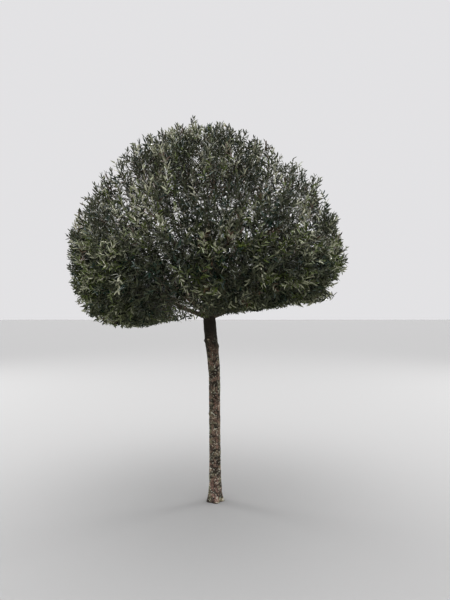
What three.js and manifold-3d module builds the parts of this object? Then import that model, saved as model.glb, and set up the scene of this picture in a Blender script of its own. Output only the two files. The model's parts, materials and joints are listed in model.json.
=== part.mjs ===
// An olive tree grown as a standard: one clear stem, boughs that spread from its fork, and a crown
// clipped to a dome. The crown is twelve masses of foliage. Each stands on the tip of its own bough
// and keeps to its own share of the dome. Millimetres, +Z up, origin where the stem meets the ground.
import * as THREE from "three";
import { mergeVertices } from "three/addons/utils/BufferGeometryUtils.js";
import Module from "manifold-3d";

const wasm = await Module();
wasm.setup();

// The clipped dome. Above its widest level it rises to the top, which stands a little to the left.
// Below that level it drops to the underside, which hangs lower on the left. A power of 2 would make
// each half an ellipsoid.
const CROWN = {
  centreX: -61,
  widestZ: 2135,
  radius: 1167,
  rise: 1125,
  drop: 625,
  topLeft: 90, // how far the top stands to the left of the middle
  tilt: 0.144,
  domePower: 1.65,
  skirtPower: 2.95,
  archRise: 135, // how far the underside is hollowed round the stem
  archRadius: 490,
};

// The stem, from its flat cut at the ground to the fork.
const STEM = {
  top: 1740,
  radius: 49,
  flare: 25,
  flareHeight: 75,
  rootLobes: 5,
  burr: 7, // the swelling under the fork, where old shoots were cut off
  burrZ: 1410,
  burrSpan: 230,
  neckFrom: 1600, // above here it narrows to the leader
  neckRadius: 37,
  leanX: -56, // it stands straight, then leans left above the bend
  bendZ: 1330,
  swayY: 16,
};

// Boughs: one leader on the fork, and two rings that leave the stem and the leader.
const BOUGH = {
  leaderRoot: 8, // how far down in the stem's top the leader starts, before it is cut clear
  leaderBase: 35,
  leaderTip: 14,
  skirtBase: 21,
  shoulderBase: 18,
  tip: 11,
};

// The masses of foliage: rings of centres that share out the dome. firstZ and stepZ say where the
// boughs of a ring leave what carries them.
const RINGS = [
  { name: "skirt", count: 6, reach: 800, height: 1940, turn: 180, firstZ: 1585, stepZ: 18 },
  { name: "shoulder", count: 5, reach: 610, height: 2590, turn: 216, firstZ: 1850, stepZ: 42 },
  { name: "crest", count: 1, reach: 0, height: 2960, turn: 0, firstZ: 1740, stepZ: 0 },
];

// The foliage. Each leaf blade stands for a spray of small leaves.
const FOLIAGE = {
  seed: 7,
  hollow: 0.45, // share of the way from the fork to the outline that is left to the boughs
  shootFrom: 0.66, // twigs end between these shares of that way
  shootTo: 0.86,
  shoots: 18,
  drawSpan: 1500, // the cube about a mass's middle in which places for twig ends are drawn
  candidates: 12, // places that are drawn for each twig's end, of which the loneliest is kept
  stemLength: 90,
  pathWeight: 0.3, // how much a short way back to the bough counts when a twig picks its parent
  bend: 0.35,
  twigStep: 300,
  tipRadius: 4.2,
  pipePower: 2.3, // a twig that carries n tips has n to the power 1 / pipePower times their radius
  leaves: 3, // blades at each twig's end
  leafLength: 265,
  leafShortest: 110,
  leafWidth: 82,
  leafThickness: 7,
  leafGirdle: 0.36, // where along its length a blade is widest
  leafSpread: 0.75, // radians between a blade and its twig
  rootDepth: 26,
  coreAcross: 0.86, // the core's share of the way from a mass's middle to its neighbours' walls
  coreOutward: 0.6, // the same towards the outline, where twigs and blades stand out of the core
  keepClear: 6, // from the walls of the space and from the limbs
};

const FACE_GAP = 0.3; // between two solids that meet face to face
const GROWN = 0.35; // how much a limb is thickened to cut the ones that leave it

const COLOURS = {
  bark: new THREE.Color(0x5d5546),
  foliage: new THREE.Color(0x55614c),
};

const UP = new THREE.Vector3(0, 0, 1);
const FORK = new THREE.Vector3(STEM.leanX, 0, 1720);

// A small seeded generator of numbers from 0 to 1, so that the tree is the same each time.
function seeded(seed) {
  let state = seed >>> 0;
  return () => {
    state = (state + 0x6d2b79f5) >>> 0;
    let t = Math.imul(state ^ (state >>> 15), state | 1);
    t = (t + Math.imul(t ^ (t >>> 7), t | 61)) ^ t;
    return ((t ^ (t >>> 14)) >>> 0) / 4294967296;
  };
}

function smoothStep(from, to, value) {
  const t = Math.min(1, Math.max(0, (value - from) / (to - from)));
  return t * t * (3 - 2 * t);
}

function bell(distance) {
  return Math.exp(-distance * distance);
}

// The middle of the crown at a height.
function crownX(z) {
  const share = Math.max(0, z - CROWN.widestZ) / CROWN.rise;
  return CROWN.centreX - CROWN.topLeft * share * share;
}

function insideCrown(p) {
  const x = p.x - crownX(p.z);
  const out = Math.hypot(x, p.y);
  const across = out / CROWN.radius;
  const above = p.z - CROWN.widestZ;
  if (above >= 0) {
    return across ** CROWN.domePower + (above / CROWN.rise) ** CROWN.domePower <= 1;
  }
  const arch = CROWN.archRise * bell(out / CROWN.archRadius);
  const depth = CROWN.drop - CROWN.tilt * x - arch;
  return across ** CROWN.skirtPower + (-above / depth) ** CROWN.skirtPower <= 1;
}

// True where p lies further from the fork than this share of the way to the outline.
function beyondShare(p, share) {
  const stretched = p.clone().sub(FORK).divideScalar(share).add(FORK);
  return !insideCrown(stretched);
}

// The point on the line from the fork through a mass's middle at a share of the way to the outline.
function onAxis(mass, share) {
  const direction = mass.centre.clone().sub(FORK).normalize();
  return FORK.clone().addScaledVector(direction, share * reachOfCrown(FORK, direction, CROWN.radius * 2));
}

// How far from p along a unit direction the crown's outline is, to the nearest step.
function reachOfCrown(p, direction, most, step = 5) {
  let far = 0;
  while (far < most && insideCrown(p.clone().addScaledVector(direction, far + step))) far += step;
  return far;
}

function stemCentre(z) {
  const bend = smoothStep(STEM.bendZ - 330, STEM.bendZ + 330, z);
  const sway = STEM.swayY * Math.sin((Math.PI * z) / STEM.top);
  return new THREE.Vector3(STEM.leanX * (0.12 * (z / STEM.top) + 0.88 * bend), sway, z);
}

function stemRadius(z, angle) {
  const neck = smoothStep(STEM.neckFrom, STEM.top, z);
  const flare = STEM.flare * Math.exp(-z / STEM.flareHeight);
  const lobes = 1 + 0.35 * Math.cos(STEM.rootLobes * angle + 0.7);
  const burr = STEM.burr * bell((z - STEM.burrZ) / STEM.burrSpan);
  const fluted = 1 + 0.025 * Math.cos(3 * angle + z / 260);
  const round = (STEM.radius + burr) * fluted * (1 - neck) + STEM.neckRadius * neck;
  return round + flare * lobes;
}

// A closed three.js geometry as a solid.
function solidOf(geometry) {
  const bare = geometry.index ? geometry.toNonIndexed() : geometry.clone();
  bare.deleteAttribute("normal");
  bare.deleteAttribute("uv");
  const merged = mergeVertices(bare, 1e-3);
  return new wasm.Manifold(
    new wasm.Mesh({
      numProp: 3,
      vertProperties: new Float32Array(merged.attributes.position.array),
      triVerts: new Uint32Array(merged.index.array),
    }),
  );
}

// A solid as a three.js geometry with flat faces.
function geometryOf(solid) {
  const mesh = solid.getMesh();
  const position = new Float32Array(mesh.numVert * 3);
  for (let i = 0; i < mesh.numVert; i++) {
    const start = i * mesh.numProp;
    position.set(mesh.vertProperties.subarray(start, start + 3), i * 3);
  }
  const geometry = new THREE.BufferGeometry();
  geometry.setAttribute("position", new THREE.BufferAttribute(position, 3));
  geometry.setIndex(new THREE.BufferAttribute(new Uint32Array(mesh.triVerts), 1));
  const flat = geometry.toNonIndexed();
  flat.computeVertexNormals();
  return flat;
}

// The largest of a solid's separate bodies: loose scraps and sealed hollows are left behind.
function mainBody(solid) {
  const bodies = solid.decompose();
  return bodies.reduce((best, body) => (body.volume() > best.volume() ? body : best));
}

// A cylinder bent through centres, one for each of its rings. radiusAt gets the ring and the angle.
function bentCylinder(centres, sides, radiusAt) {
  const rings = centres.length - 1;
  const geometry = new THREE.CylinderGeometry(1, 1, rings, sides, rings);
  const frames = ringFrames(centres);
  const position = geometry.attributes.position;
  for (let i = 0; i < position.count; i++) {
    const ring = Math.round(position.getY(i) + rings / 2);
    const x = position.getX(i);
    const z = position.getZ(i);
    const angle = Math.atan2(z, x);
    const size = Math.hypot(x, z) * radiusAt(ring, angle);
    const { side, back } = frames[ring];
    const p = centres[ring].clone();
    p.addScaledVector(side, size * Math.cos(angle)).addScaledVector(back, size * Math.sin(angle));
    position.setXYZ(i, p.x, p.y, p.z);
  }
  return geometry;
}

// For each centre, two directions across the run of the centres. They turn with it and don't twist.
function ringFrames(centres) {
  const last = centres.length - 1;
  const ahead = centres.map((c, i) =>
    centres[Math.min(i + 1, last)].clone().sub(centres[Math.max(i - 1, 0)]).normalize(),
  );
  let side = new THREE.Vector3(1, 0, 0);
  if (Math.abs(ahead[0].x) > 0.9) side.set(0, 1, 0);
  return ahead.map((forward) => {
    side = side.clone().addScaledVector(forward, -side.dot(forward)).normalize();
    return { side, back: side.clone().cross(forward) };
  });
}

function stemSolid(grown = 0) {
  const rings = 22;
  const centres = [];
  for (let i = 0; i <= rings; i++) {
    const share = i / rings;
    centres.push(stemCentre((STEM.top + grown) * (0.45 * share * share + 0.55 * share)));
  }
  const tube = bentCylinder(centres, 16, (ring, angle) => stemRadius(centres[ring].z, angle) + grown);
  return solidOf(flattenFoot(tube));
}

// Puts the lowest ring exactly on the ground.
function flattenFoot(geometry) {
  const position = geometry.attributes.position;
  for (let i = 0; i < position.count; i++) {
    if (Math.abs(position.getZ(i)) < 4) position.setZ(i, 0);
  }
  return geometry;
}

// The centres of the masses, with the name of each and where its bough starts.
function shareOutCrown() {
  const masses = [];
  for (const ring of RINGS) {
    for (let i = 0; i < ring.count; i++) {
      const angle = THREE.MathUtils.degToRad(ring.turn + (360 * i) / ring.count);
      const centre = new THREE.Vector3(
        crownX(ring.height) + ring.reach * Math.cos(angle),
        ring.reach * Math.sin(angle),
        ring.height,
      );
      const name = ring.count > 1 ? `${ring.name}_${i + 1}` : ring.name;
      const startZ = ring.firstZ + ring.stepZ * ((i * 2) % ring.count);
      masses.push({ name, ring: ring.name, centre, startZ, index: masses.length });
    }
  }
  return masses;
}

// A mass's own space: its share of the dome, outside the hollow where the boughs run.
function inOwnSpace(p, mass, masses, clear = FOLIAGE.keepClear) {
  if (!insideCrown(p) || !beyondShare(p, FOLIAGE.hollow)) return false;
  const own = p.distanceTo(mass.centre);
  for (const other of masses) {
    if (other === mass) continue;
    const apart = other.centre.distanceTo(mass.centre);
    const toWall = (p.distanceTo(other.centre) ** 2 - own ** 2) / (2 * apart);
    if (toWall < clear) return false;
  }
  return true;
}

// The leader goes on from the stem's top and leans a little to the crown's middle.
function leaderCentre(share, tip) {
  const start = stemCentre(STEM.top - BOUGH.leaderRoot);
  const control = start.clone().add(new THREE.Vector3(-4, -8, 0.5 * (tip.z - start.z)));
  return new THREE.QuadraticBezierCurve3(start, control, tip).getPoint(share);
}

// The run of centres along a mass's bough, from inside what carries it to where the mass begins.
function boughCentres(mass, leaderTip) {
  const toMass = mass.centre.clone().sub(FORK).normalize();
  let far = 0;
  while (!beyondShare(FORK.clone().addScaledVector(toMass, far), FOLIAGE.hollow)) far += 5;
  const tip = FORK.clone().addScaledVector(toMass, far);
  const rings = 8;
  const centres = [];
  if (mass.ring === "crest") {
    for (let i = 0; i <= rings; i++) centres.push(leaderCentre(i / rings, tip));
    return centres;
  }
  const onLeader = mass.ring === "shoulder";
  const share = (mass.startZ - STEM.top) / (leaderTip.z - STEM.top);
  const start = onLeader ? leaderCentre(share, leaderTip) : stemCentre(mass.startZ);
  const outward = tip.clone().sub(start).setZ(0);
  const control = start.clone().addScaledVector(outward, 0.5);
  control.z += onLeader ? 0.42 * (tip.z - start.z) : 0.2 * (tip.z - start.z);
  const curve = new THREE.QuadraticBezierCurve3(start, control, tip);
  for (let i = 0; i <= rings; i++) centres.push(curve.getPoint(i / rings));
  return centres;
}

function boughRadius(mass, share) {
  const base = {
    crest: BOUGH.leaderBase,
    skirt: BOUGH.skirtBase,
    shoulder: BOUGH.shoulderBase,
  }[mass.ring];
  const tip = mass.ring === "crest" ? BOUGH.leaderTip : BOUGH.tip;
  return tip + (base - tip) * (1 - share) ** 1.2;
}

function boughSolid(mass, grown = 0) {
  const { centres } = mass;
  const rings = centres.length - 1;
  return solidOf(bentCylinder(centres, 8, (ring) => boughRadius(mass, ring / rings) + grown));
}

// Points along the limbs with their radius there, which tell foliage how near a limb is.
function limbPoints(masses) {
  const points = [];
  for (let z = 0; z <= STEM.top; z += 40) points.push({ at: stemCentre(z), radius: stemRadius(z, 0) });
  for (const mass of masses) {
    const rings = mass.centres.length - 1;
    for (let ring = 0; ring < rings; ring++) {
      for (const part of [0, 0.5]) {
        const at = mass.centres[ring].clone().lerp(mass.centres[ring + 1], part);
        points.push({ at, radius: boughRadius(mass, (ring + part) / rings) });
      }
    }
  }
  return points;
}

function clearOfLimbs(p, limbs, clear) {
  return limbs.every((limb) => limb.at.distanceTo(p) > limb.radius + clear);
}

// Draws a point of the crown in which a twig may end, or null.
function drawPlace(random, mass, masses) {
  const p = new THREE.Vector3(
    mass.centre.x + FOLIAGE.drawSpan * (random() - 0.5),
    mass.centre.y + FOLIAGE.drawSpan * (random() - 0.5),
    mass.centre.z + FOLIAGE.drawSpan * (random() - 0.5),
  );
  const fits =
    inOwnSpace(p, mass, masses, 4 * FOLIAGE.keepClear) &&
    beyondShare(p, FOLIAGE.shootFrom) &&
    !beyondShare(p, FOLIAGE.shootTo);
  return fits ? p : null;
}

// Twig ends spread evenly through a mass. The first lies straight out through the mass's middle, and
// for each of the others the loneliest of a few drawn places is kept.
function twigEnds(random, mass, masses) {
  const ends = [onAxis(mass, FOLIAGE.shootTo)];
  while (ends.length < FOLIAGE.shoots) {
    let best = null;
    let bestAlone = -1;
    for (let found = 0; found < FOLIAGE.candidates; ) {
      const p = drawPlace(random, mass, masses);
      if (!p) continue;
      found += 1;
      const alone = Math.min(1e6, ...ends.map((end) => end.distanceTo(p)));
      if (alone > bestAlone) [best, bestAlone] = [p, alone];
    }
    ends.push(best);
  }
  return ends;
}

// The mass's twigs as a skeleton of nodes. The ends join it from the nearest to the furthest, each
// at the node that costs least: its distance, and a share of the way from there back to the bough.
function growTwigs(mass, masses, limbs) {
  const random = seeded(FOLIAGE.seed * 1000 + mass.index);
  const last = mass.centres.length - 1;
  const tip = mass.centres[last];
  const heading = tip.clone().sub(mass.centres[last - 1]).normalize();
  const foot = tip.clone().addScaledVector(heading, FACE_GAP);
  const head = foot.clone().addScaledVector(heading, FOLIAGE.stemLength);
  const nodes = [
    { at: foot, parent: -1, way: 0, heading, tips: 0 },
    { at: head, parent: 0, way: FOLIAGE.stemLength, heading, tips: 0 },
  ];
  const chains = [[0, 1]];
  const ends = twigEnds(random, mass, masses);
  ends.sort((a, b) => a.distanceTo(foot) - b.distanceTo(foot));
  for (const end of ends) {
    const cost = (node) => node.at.distanceTo(end) + FOLIAGE.pathWeight * node.way;
    let parent = 1;
    for (let i = 2; i < nodes.length; i++) if (cost(nodes[i]) < cost(nodes[parent])) parent = i;
    const chain = twigTo(end, parent, nodes, (p) =>
      inOwnSpace(p, mass, masses, 2 * FOLIAGE.keepClear) && clearOfLimbs(p, limbs, 2 * FOLIAGE.keepClear),
    );
    if (chain) chains.push(chain);
  }
  for (const chain of chains.slice(1)) {
    for (let i = chain[chain.length - 1]; i >= 0; i = nodes[i].parent) nodes[i].tips += 1;
  }
  return { nodes, chains };
}

// Adds a twig from a node to an end. It leaves along its parent's heading and bends to the end.
function twigTo(end, parent, nodes, allowed) {
  const from = nodes[parent];
  const length = from.at.distanceTo(end);
  const control = from.at.clone().addScaledVector(from.heading, FOLIAGE.bend * length);
  const curve = new THREE.QuadraticBezierCurve3(from.at, control, end);
  const steps = Math.max(1, Math.round(length / FOLIAGE.twigStep));
  const points = curve.getPoints(steps).slice(1);
  if (!points.every(allowed)) return null;
  const chain = [parent];
  for (const at of points) {
    const before = nodes[chain[chain.length - 1]];
    const heading = at.clone().sub(before.at).normalize();
    const way = before.way + at.distanceTo(before.at);
    nodes.push({ at, parent: chain[chain.length - 1], way, heading, tips: 0 });
    chain.push(nodes.length - 1);
  }
  return chain;
}

function twigRadius(node) {
  return FOLIAGE.tipRadius * Math.max(1, node.tips) ** (1 / FOLIAGE.pipePower);
}

function twigSolid(chain, nodes) {
  const centres = chain.map((i) => nodes[i].at);
  const ownFoot = chain[0] === 0 ? nodes[0] : nodes[chain[1]];
  const radii = chain.map((i, ring) => twigRadius(ring === 0 ? ownFoot : nodes[i]));
  return solidOf(bentCylinder(centres, 3, (ring) => radii[ring]));
}

// One blade: an octahedron drawn out from its root along a direction, widest before its middle.
function leafGeometry(root, direction, face, length) {
  const side = direction.clone().cross(face).normalize();
  const normal = direction.clone().cross(side);
  const blade = new THREE.OctahedronGeometry(1);
  const position = blade.attributes.position;
  const width = (FOLIAGE.leafWidth * Math.sqrt(length / FOLIAGE.leafLength)) / 2;
  for (let i = 0; i < position.count; i++) {
    const along = position.getX(i);
    const share = Math.abs(along) < 0.5 ? FOLIAGE.leafGirdle : (along + 1) / 2;
    const p = root.clone().addScaledVector(direction, share * length);
    p.addScaledVector(side, position.getY(i) * width);
    p.addScaledVector(normal, position.getZ(i) * (FOLIAGE.leafThickness / 2));
    position.setXYZ(i, p.x, p.y, p.z);
  }
  return blade;
}

// The points of a blade that have to lie in the mass's space and clear of the limbs.
function leafAllowed(blade, mass, masses, limbs) {
  const position = blade.attributes.position;
  const centre = new THREE.Vector3();
  for (let i = 0; i < position.count; i++) {
    const p = new THREE.Vector3().fromBufferAttribute(position, i);
    centre.addScaledVector(p, 1 / position.count);
    if (!inOwnSpace(p, mass, masses) || !clearOfLimbs(p, limbs, FOLIAGE.keepClear)) return false;
  }
  return clearOfLimbs(centre, limbs, FOLIAGE.leafWidth / 2);
}

// The blades at the end of a twig, spread round the way it points.
function leavesAt(node, random, mass, masses, limbs) {
  const outward = node.at.clone().sub(FORK).normalize();
  const axis = node.heading.clone().add(outward).addScaledVector(UP, 0.25).normalize();
  const across = axis.clone().cross(Math.abs(axis.z) > 0.9 ? new THREE.Vector3(1, 0, 0) : UP).normalize();
  const start = random() * 2 * Math.PI;
  const root = node.at.clone().addScaledVector(node.heading, -FOLIAGE.rootDepth / 2);
  const made = [];
  for (let i = 0; i < FOLIAGE.leaves; i++) {
    const turn = start + (2 * Math.PI * i) / FOLIAGE.leaves + 0.5 * (random() - 0.5);
    const spread = FOLIAGE.leafSpread * (0.75 + 0.5 * random());
    const direction = across.clone().applyAxisAngle(axis, turn).multiplyScalar(Math.sin(spread));
    direction.addScaledVector(axis, Math.cos(spread)).normalize();
    const face = outward.clone().addScaledVector(across, random() - 0.5);
    const length = reachOfCrown(root, direction, FOLIAGE.leafLength) - FOLIAGE.keepClear;
    if (length < FOLIAGE.leafShortest) continue;
    const blade = leafGeometry(root, direction, face, length);
    if (leafAllowed(blade, mass, masses, limbs)) made.push(solidOf(blade));
  }
  return made;
}

// A core that has the shape of the mass's space, shrunk about its middle and most along its axis.
function coreSolid(mass, masses) {
  const outward = mass.centre.clone().sub(FORK).normalize();
  const ball = new THREE.IcosahedronGeometry(1, 1);
  const position = ball.attributes.position;
  for (let i = 0; i < position.count; i++) {
    const direction = new THREE.Vector3().fromBufferAttribute(position, i).normalize();
    const along = Math.abs(direction.dot(outward));
    const share = THREE.MathUtils.lerp(FOLIAGE.coreAcross, FOLIAGE.coreOutward, along);
    let far = 0;
    while (inOwnSpace(mass.centre.clone().addScaledVector(direction, far), mass, masses)) far += 10;
    const p = mass.centre.clone().addScaledVector(direction, far * share);
    position.setXYZ(i, p.x, p.y, p.z);
  }
  return solidOf(ball);
}

function foliageSolid(mass, masses, limbs) {
  const { nodes, chains } = growTwigs(mass, masses, limbs);
  const random = seeded(FOLIAGE.seed * 2000 + mass.index);
  const pieces = [coreSolid(mass, masses)];
  for (const chain of chains) {
    pieces.push(twigSolid(chain, nodes));
    if (chain[0] === 0) continue;
    pieces.push(...leavesAt(nodes[chain[chain.length - 1]], random, mass, masses, limbs));
  }
  return mainBody(wasm.Manifold.union(pieces));
}

function meshOf(name, solid, colour, roughness) {
  const material = new THREE.MeshStandardMaterial({ color: colour, roughness, metalness: 0 });
  const mesh = new THREE.Mesh(geometryOf(solid), material);
  mesh.name = name;
  return mesh;
}

function oliveTree() {
  const tree = new THREE.Group();
  const masses = shareOutCrown();
  const crest = masses.find((mass) => mass.ring === "crest");
  crest.centres = boughCentres(crest);
  const leaderTip = crest.centres[crest.centres.length - 1];
  for (const mass of masses) mass.centres ??= boughCentres(mass, leaderTip);
  const limbs = limbPoints(masses);

  const grownStem = stemSolid(GROWN);
  const grownLeader = boughSolid(crest, GROWN);
  tree.add(meshOf("trunk", stemSolid(), COLOURS.bark, 0.95));
  for (const mass of masses) {
    let bough = boughSolid(mass).subtract(grownStem);
    if (mass !== crest) bough = bough.subtract(grownLeader);
    bough = mainBody(bough);
    const name = mass.ring === "crest" ? "bough_leader" : `bough_${mass.name}`;
    tree.add(meshOf(name, bough, COLOURS.bark, 0.95));
  }
  for (const mass of masses) {
    const foliage = foliageSolid(mass, masses, limbs);
    tree.add(meshOf(`foliage_${mass.name}`, foliage, COLOURS.foliage, 0.7));
  }
  return tree;
}

export default oliveTree();
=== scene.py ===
# %% [markdown]
# # An olive tree, clipped to a dome
#
# The tree is a standard: one clear stem, boughs that spread from its fork, and a dense crown that is
# clipped once a year. The script dresses the packed model of that tree. It keeps the model's places and
# sizes, and makes what the model leaves plain: bark with relief, fine twigs, and every single leaf.
#
# Everything is in metres, with +Z up and the origin where the stem meets the ground.

# %% Load the frame
import json
import math

import bpy
import numpy as np
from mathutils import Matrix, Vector, noise

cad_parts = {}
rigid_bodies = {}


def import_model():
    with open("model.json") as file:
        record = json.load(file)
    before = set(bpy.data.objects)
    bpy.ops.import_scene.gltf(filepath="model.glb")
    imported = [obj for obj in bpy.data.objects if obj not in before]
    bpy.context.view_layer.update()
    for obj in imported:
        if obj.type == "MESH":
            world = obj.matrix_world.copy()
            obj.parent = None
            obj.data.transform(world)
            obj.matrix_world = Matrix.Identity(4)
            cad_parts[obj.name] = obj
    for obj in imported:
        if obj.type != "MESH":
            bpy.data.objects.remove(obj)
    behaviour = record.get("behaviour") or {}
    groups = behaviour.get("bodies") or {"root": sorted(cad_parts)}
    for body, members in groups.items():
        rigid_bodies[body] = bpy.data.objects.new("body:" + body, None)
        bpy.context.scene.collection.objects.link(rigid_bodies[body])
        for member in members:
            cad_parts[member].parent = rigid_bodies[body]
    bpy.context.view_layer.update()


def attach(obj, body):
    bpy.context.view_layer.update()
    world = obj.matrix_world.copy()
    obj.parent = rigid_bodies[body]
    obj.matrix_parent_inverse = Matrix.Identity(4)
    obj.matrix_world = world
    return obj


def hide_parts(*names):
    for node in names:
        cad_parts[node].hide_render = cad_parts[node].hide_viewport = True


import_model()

# %% [markdown]
# ## The camera
#
# The picture was taken by a grown person who stood about four metres from the stem and held the camera
# at eye height. The horizon lies a little below the middle of the picture, so the camera looks up by
# two degrees. A camera could be aimed with a constraint, but two plain angles say the same thing and
# leave nothing for other views to undo.

# %% Camera
EYE = Vector((0.086, -3.9495, 1.6))
LOOK_UP = math.radians(1.909)
LENS_MM, SENSOR_MM = 27.0, 36.0

bpy.ops.object.camera_add(location=EYE, rotation=(math.radians(90) + LOOK_UP, 0, 0))
camera = bpy.context.object
camera.name = "eye_height_camera"
camera.data.lens = LENS_MM
camera.data.sensor_width = SENSOR_MM
bpy.context.scene.camera = camera
print("camera", tuple(round(c, 2) for c in camera.location), "lens", camera.data.lens)

# %% [markdown]
# ## Small tools
#
# A few helpers are used all through the script. One makes a mesh object from arrays, for things that
# are too many to model by hand. One says that a piece belongs to the tree and what it stands for. One
# is a small generator of numbers from 0 to 1. It has a seed, so the tree is the same each time, and it
# is the generator that the model was grown with, so the twigs here start from the same ones.


# %% Helpers
def mesh_piece(name, vertices, faces, materials, face_materials=None):
    """A mesh object from arrays of vertices and triangles."""
    mesh = bpy.data.meshes.new(name)
    mesh.from_pydata(vertices, [], faces)
    for material in materials:
        mesh.materials.append(material)
    if face_materials is not None:
        mesh.polygons.foreach_set("material_index", np.asarray(face_materials, dtype=np.int32))
    mesh.update()
    piece = bpy.data.objects.new(name, mesh)
    bpy.context.scene.collection.objects.link(piece)
    return piece


def belongs(piece, slot, *nodes):
    """The piece rides on the tree and stands for nodes of the model, which it hides. The slot is not
    used.
    """
    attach(piece, "root")
    if nodes:
        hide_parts(*nodes)
    return piece


WORD = 0xFFFFFFFF  # the generator counts in whole numbers of 32 bits


def seeded(seed):
    state = seed & WORD

    def draw():
        nonlocal state
        state = (state + 0x6D2B79F5) & WORD
        t = ((state ^ (state >> 15)) * (state | 1)) & WORD
        t = ((t + (((t ^ (t >> 7)) * (t | 61)) & WORD)) ^ t) & WORD
        return (t ^ (t >> 14)) / (WORD + 1)

    return draw


def unit(v):
    return v / np.linalg.norm(v, axis=-1, keepdims=True)


def smooth_step(low, high, value):
    t = min(1.0, max(0.0, (value - low) / (high - low)))
    return t * t * (3 - 2 * t)


UP = np.array([0.0, 0.0, 1.0])
print("first draws", [round(seeded(7000)(), 4), round(seeded(14000)(), 4)])

# %% [markdown]
# Shader nodes are wired in many places below. A few short words for adding a node, linking it and
# blending two colours keep those places readable. Wiring each node by hand would take four times as
# many lines.


# %% Wiring of nodes
class Wiring:
    """Short words for adding nodes to a tree and linking them."""

    def __init__(self, tree):
        self.nodes, self.links = tree.nodes, tree.links

    def put(self, value, socket):
        if isinstance(value, bpy.types.NodeSocket):
            self.links.new(value, socket)
        else:
            socket.default_value = value

    def add(self, kind, result, **inputs):
        node = self.nodes.new(kind)
        for name, value in inputs.items():
            self.put(value, node.inputs[name.replace("_", " ")])
        return node.outputs[result]

    def noise(self, vector, scale, detail=3.0, roughness=0.6, twist=0.0):
        values = dict(Vector=vector, Scale=scale, Detail=detail, Roughness=roughness, Distortion=twist)
        return self.add("ShaderNodeTexNoise", "Fac", **values)

    def ramp(self, value, low, high, to_low=0.0, to_high=1.0):
        node = self.nodes.new("ShaderNodeMapRange")
        node.interpolation_type = "SMOOTHSTEP"
        numbers = {"Value": value, "From Min": low, "From Max": high, "To Min": to_low, "To Max": to_high}
        for name, number in numbers.items():
            self.put(number, node.inputs[name])
        return node.outputs["Result"]

    def spots(self, vector, low, high, **values):
        """Spots with soft edges: 0 where a noise is under low, 1 where it is over high."""
        return self.ramp(self.noise(vector, **values), low, high)

    def mix(self, factor, a, b):
        node = self.nodes.new("ShaderNodeMix")
        node.data_type = "RGBA"
        sockets = {socket.identifier: socket for socket in node.inputs}
        self.put(factor, sockets["Factor_Float"])
        self.put(a, sockets["A_Color"])
        self.put(b, sockets["B_Color"])
        return next(socket for socket in node.outputs if socket.identifier == "Result_Color")

    def math(self, operation, a, b=0.0, c=0.0):
        node = self.nodes.new("ShaderNodeMath")
        node.operation = operation
        for socket, value in zip(node.inputs, (a, b, c)):
            self.put(value, socket)
        return node.outputs[0]

    def split(self, vector):
        node = self.nodes.new("ShaderNodeSeparateXYZ")
        self.put(vector, node.inputs[0])
        return node.outputs

    def mark(self, name):
        """A number that the mesh carries at each vertex."""
        node = self.nodes.new("ShaderNodeAttribute")
        node.attribute_name = name
        return node.outputs["Fac"]


print("words for wiring:", [word for word in vars(Wiring) if not word.startswith("_")])

# %% [markdown]
# ## Floor and light
#
# Under an overcast sky most light comes from straight above and little from the horizon, and the
# grass under a tree throws almost none back up. That is why the inside of a crown is dark and only the
# leaves on top shine. The stage does the same and still looks plain: the world is a pale backdrop for
# the eye and a graded sky for the leaves, and the floor looks pale but bounces light as grass does. Two
# soft lamps far behind the tree, left and right, stand for the bright clouds there, which give the edge
# of the crown its shine. A sun lamp would draw hard shadows, which a cloudy day does not have. Last,
# the shadows of the whole picture are deepened a little, as a camera's own tone curve does.

# %% Stage
SKY = (0.86, 0.855, 0.87, 1.0)
SEEN_SKY = 0.92
LOW_SKY, HIGH_SKY = 1.16, 5.75  # the light from the horizon and from straight above
GLOW_FROM = 0.50  # the sine of the height at which the sky starts to get brighter
SEEN_FLOOR = (0.208, 0.208, 0.205, 1.0)
BOUNCED_FLOOR = (0.18, 0.19, 0.145, 1.0)
FLOOR_SIZE, FLOOR_ROUGHNESS = 300, 0.9
LAMPS = {  # place and power
    "light_behind_left": ((-10.0, 5.5, 7.0), 800),
    "light_behind_right": ((10.0, 5.5, 7.0), 720),
}
LAMP_SIZE, LAMP_AIM = 4.0, Vector((0, 0, 2.0))
TONE_CURVE = 0.88  # under 1 it deepens the shadows


def plain_material(name, tone, roughness):
    """A material of one tone, with the wiring and the inputs of its shader to add more."""
    material = bpy.data.materials.new(name)
    material.use_nodes = True
    shader = material.node_tree.nodes["Principled BSDF"].inputs
    shader["Base Color"].default_value = tone
    shader["Roughness"].default_value = roughness
    return material, Wiring(material.node_tree), shader


def add_floor():
    bpy.ops.mesh.primitive_plane_add(size=FLOOR_SIZE, location=(0, 0, 0))
    floor = bpy.context.object
    floor.name = "floor"
    material, wire, shader = plain_material("pale_floor", SEEN_FLOOR, FLOOR_ROUGHNESS)
    seen = wire.add("ShaderNodeLightPath", "Is Camera Ray")
    wire.put(wire.mix(seen, BOUNCED_FLOOR, SEEN_FLOOR), shader["Base Color"])
    floor.data.materials.append(material)


def add_sky():
    world = bpy.data.worlds.new("overcast")
    world.use_nodes = True
    wire = Wiring(world.node_tree)
    height = wire.split(wire.add("ShaderNodeTexCoord", "Generated"))["Z"]
    graded = wire.ramp(height, GLOW_FROM, 1.0, LOW_SKY, HIGH_SKY)
    seen = wire.add("ShaderNodeLightPath", "Is Camera Ray")
    strength = wire.math("MULTIPLY_ADD", seen, wire.math("SUBTRACT", SEEN_SKY, graded), graded)
    background = wire.nodes["Background"].inputs
    background["Color"].default_value = SKY
    wire.put(strength, background["Strength"])
    bpy.context.scene.world = world


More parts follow.
